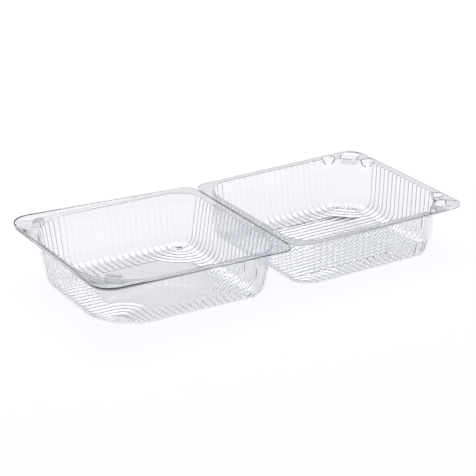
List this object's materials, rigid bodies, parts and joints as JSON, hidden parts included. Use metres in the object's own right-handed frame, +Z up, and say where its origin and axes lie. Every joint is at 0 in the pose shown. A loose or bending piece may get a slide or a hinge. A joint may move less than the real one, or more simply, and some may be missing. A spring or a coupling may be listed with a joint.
{
  "type": "hinged clear food container",
  "caption": "Clear thermoformed clamshell box lying open: base tray and lid tray with fluted walls, a flat rim, snap studs and sockets, joined by a living hinge.",
  "frame": {"origin": "middle of the base tray's underside, on the table plane", "axes": "+X away from the hinge, +Y along the hinge line to the back, +Z up; the lid tray lies open on the -X side"},
  "size_m": [0.3077, 0.153, 0.0475],
  "materials": {
    "base_sheet": "clear glossy thermoformed sheet",
    "lid_sheet": "clear glossy thermoformed sheet",
    "hinge_web": "clear sheet, pressed thin along the fold"
  },
  "bodies": {
    "base_tray": {"base_back_bend": "base_sheet", "base_back_end_corner_rim": "base_sheet", "base_back_end_corner_wall": "base_sheet", "base_back_end_pocket": "base_sheet", "base_back_hinge_corner_rim": "base_sheet", "base_back_hinge_corner_wall": "base_sheet", "base_back_rim": "base_sheet", "base_back_side_pocket": "base_sheet", "base_back_socket": "base_sheet", "base_back_wall": "base_sheet", "base_end_bend": "base_sheet", "base_end_rim": "base_sheet", "base_end_wall": "base_sheet", "base_floor": "base_sheet", "base_front_bend": "base_sheet", "base_front_end_corner_rim": "base_sheet", "base_front_end_corner_wall": "base_sheet", "base_front_end_pocket": "base_sheet", "base_front_hinge_corner_rim": "base_sheet", "base_front_hinge_corner_wall": "base_sheet", "base_front_rim": "base_sheet", "base_front_side_pocket": "base_sheet", "base_front_socket": "base_sheet", "base_front_wall": "base_sheet", "base_hinge_side_bend": "base_sheet", "base_hinge_side_rim": "base_sheet", "base_hinge_side_wall": "base_sheet", "hinge_bead": "hinge_web"},
    "lid_tray": {"lid_back_bend": "lid_sheet", "lid_back_end_corner_rim": "lid_sheet", "lid_back_end_corner_wall": "lid_sheet", "lid_back_hinge_corner_rim": "lid_sheet", "lid_back_hinge_corner_wall": "lid_sheet", "lid_back_lip": "lid_sheet", "lid_back_lip_corner": "lid_sheet", "lid_back_rim": "lid_sheet", "lid_back_stud": "lid_sheet", "lid_back_wall": "lid_sheet", "lid_end_bend": "lid_sheet", "lid_end_lip": "lid_sheet", "lid_end_rim": "lid_sheet", "lid_end_wall": "lid_sheet", "lid_floor": "lid_sheet", "lid_front_bend": "lid_sheet", "lid_front_end_corner_rim": "lid_sheet", "lid_front_end_corner_wall": "lid_sheet", "lid_front_hinge_corner_rim": "lid_sheet", "lid_front_hinge_corner_wall": "lid_sheet", "lid_front_lip": "lid_sheet", "lid_front_lip_corner": "lid_sheet", "lid_front_rim": "lid_sheet", "lid_front_stud": "lid_sheet", "lid_front_wall": "lid_sheet", "lid_hinge_side_bend": "lid_sheet", "lid_hinge_side_rim": "lid_sheet", "lid_hinge_side_wall": "lid_sheet"}
  },
  "joints": [
    {"name": "lid_hinge", "type": "hinge", "parent": "base_tray", "child": "lid_tray", "pos_m": [-0.076, 0, 0.03995], "axis": [0, 1, 0], "range_deg": [-1.44, 178.56]}
  ]
}
